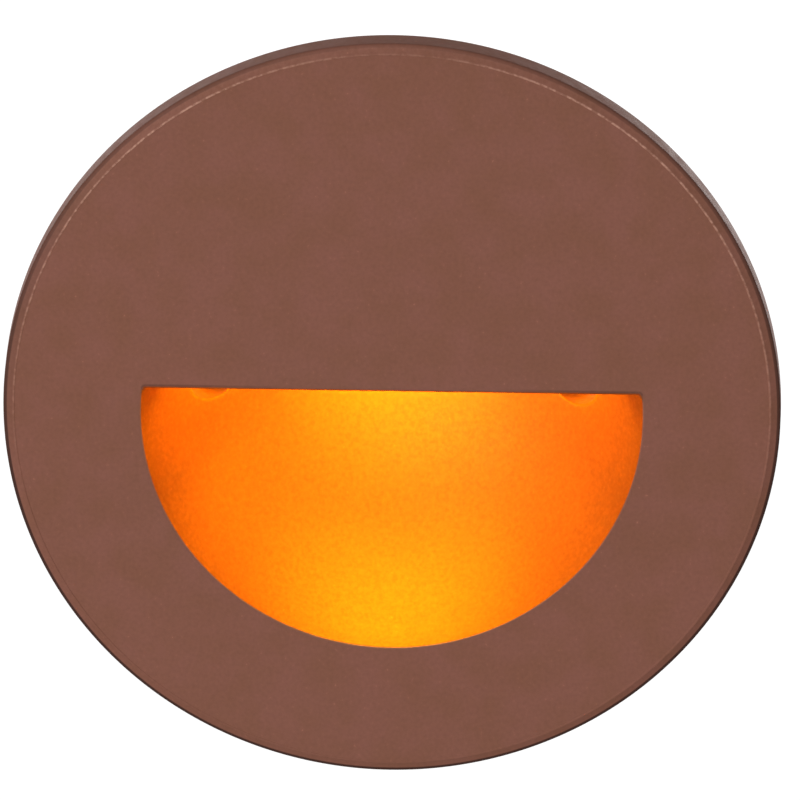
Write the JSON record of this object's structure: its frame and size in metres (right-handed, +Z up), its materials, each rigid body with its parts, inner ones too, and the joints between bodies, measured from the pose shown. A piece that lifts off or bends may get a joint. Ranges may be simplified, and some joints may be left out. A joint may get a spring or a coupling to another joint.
{
  "type": "recessed step light",
  "caption": "Round recessed step light: brown face with a half-moon scoop lit amber from a hidden lamp, finned housing, cable gland and spring clips that fold in to enter a wall cut-out.",
  "frame": {"origin": "on the housing's axis, in the plane of the wall's surface", "axes": "+Y into the wall along the housing's axis, +Z up, the face looks towards -Y"},
  "size_m": [0.0762, 0.0548, 0.0762],
  "materials": {
    "brown_coat": "brown textured powder coat on die-cast metal",
    "seal_rubber": "matt black silicone",
    "gasket_foam": "matt black closed-cell foam",
    "cast_aluminium": "die-cast aluminium with a fine cast skin",
    "plain_aluminium": "mill finish aluminium",
    "stainless_steel": "stainless steel",
    "spring_steel": "tempered stainless spring steel",
    "clear_lens": "clear lens",
    "white_board": "white solder mask",
    "amber_light": "amber emitter, lit",
    "green_board": "green solder mask",
    "capacitor_sleeve": "dark blue sleeve, no print",
    "ferrite": "dark ferrite",
    "chip_resin": "black moulding resin",
    "terminal_plastic": "green terminal block",
    "red_insulation": "red insulation",
    "black_insulation": "black insulation",
    "black_nylon": "black moulded nylon"
  },
  "bodies": {
    "light": {"face_casting": "brown_coat", "housing_seal": "seal_rubber", "wall_gasket": "gasket_foam", "housing_can": "cast_aluminium", "recess_screws": "stainless_steel", "carrier_screws": "stainless_steel", "lamp_board_screws": "stainless_steel", "driver_screws": "stainless_steel", "lens_gasket": "seal_rubber", "lamp_lens": "clear_lens", "lamp_board": "white_board", "amber_emitters": "amber_light", "lamp_carrier": "plain_aluminium", "driver_board": "green_board", "capacitor": "capacitor_sleeve", "inductor": "ferrite", "rectifier": "chip_resin", "driver_chip": "chip_resin", "supply_terminal": "terminal_plastic", "lamp_lead_red": "red_insulation", "lamp_lead_black": "black_insulation", "gland_body": "black_nylon", "gland_insert": "seal_rubber", "gland_nut": "black_nylon", "gland_washer": "seal_rubber", "gland_locknut": "black_nylon", "clip_pin_right": "stainless_steel", "clip_pin_left": "stainless_steel", "clip_spring_right": "spring_steel", "clip_spring_left": "spring_steel"},
    "left_clip": {"clip_arm_left": "spring_steel"},
    "right_clip": {"clip_arm_right": "spring_steel"}
  },
  "joints": [
    {"name": "clip_left_fold", "type": "hinge", "parent": "light", "child": "left_clip", "pos_m": [-0.025, 0.0202, 0], "axis": [0, 0, 1], "range_deg": [0, 38], "stiffness_Nm_per_rad": 0.02, "springref_deg": -28.65, "deforming": ["clip_spring_left"]},
    {"name": "clip_right_fold", "type": "hinge", "parent": "light", "child": "right_clip", "pos_m": [0.025, 0.0202, 0], "axis": [0, 0, -1], "range_deg": [0, 38], "stiffness_Nm_per_rad": 0.02, "springref_deg": -28.65, "deforming": ["clip_spring_right"]}
  ]
}
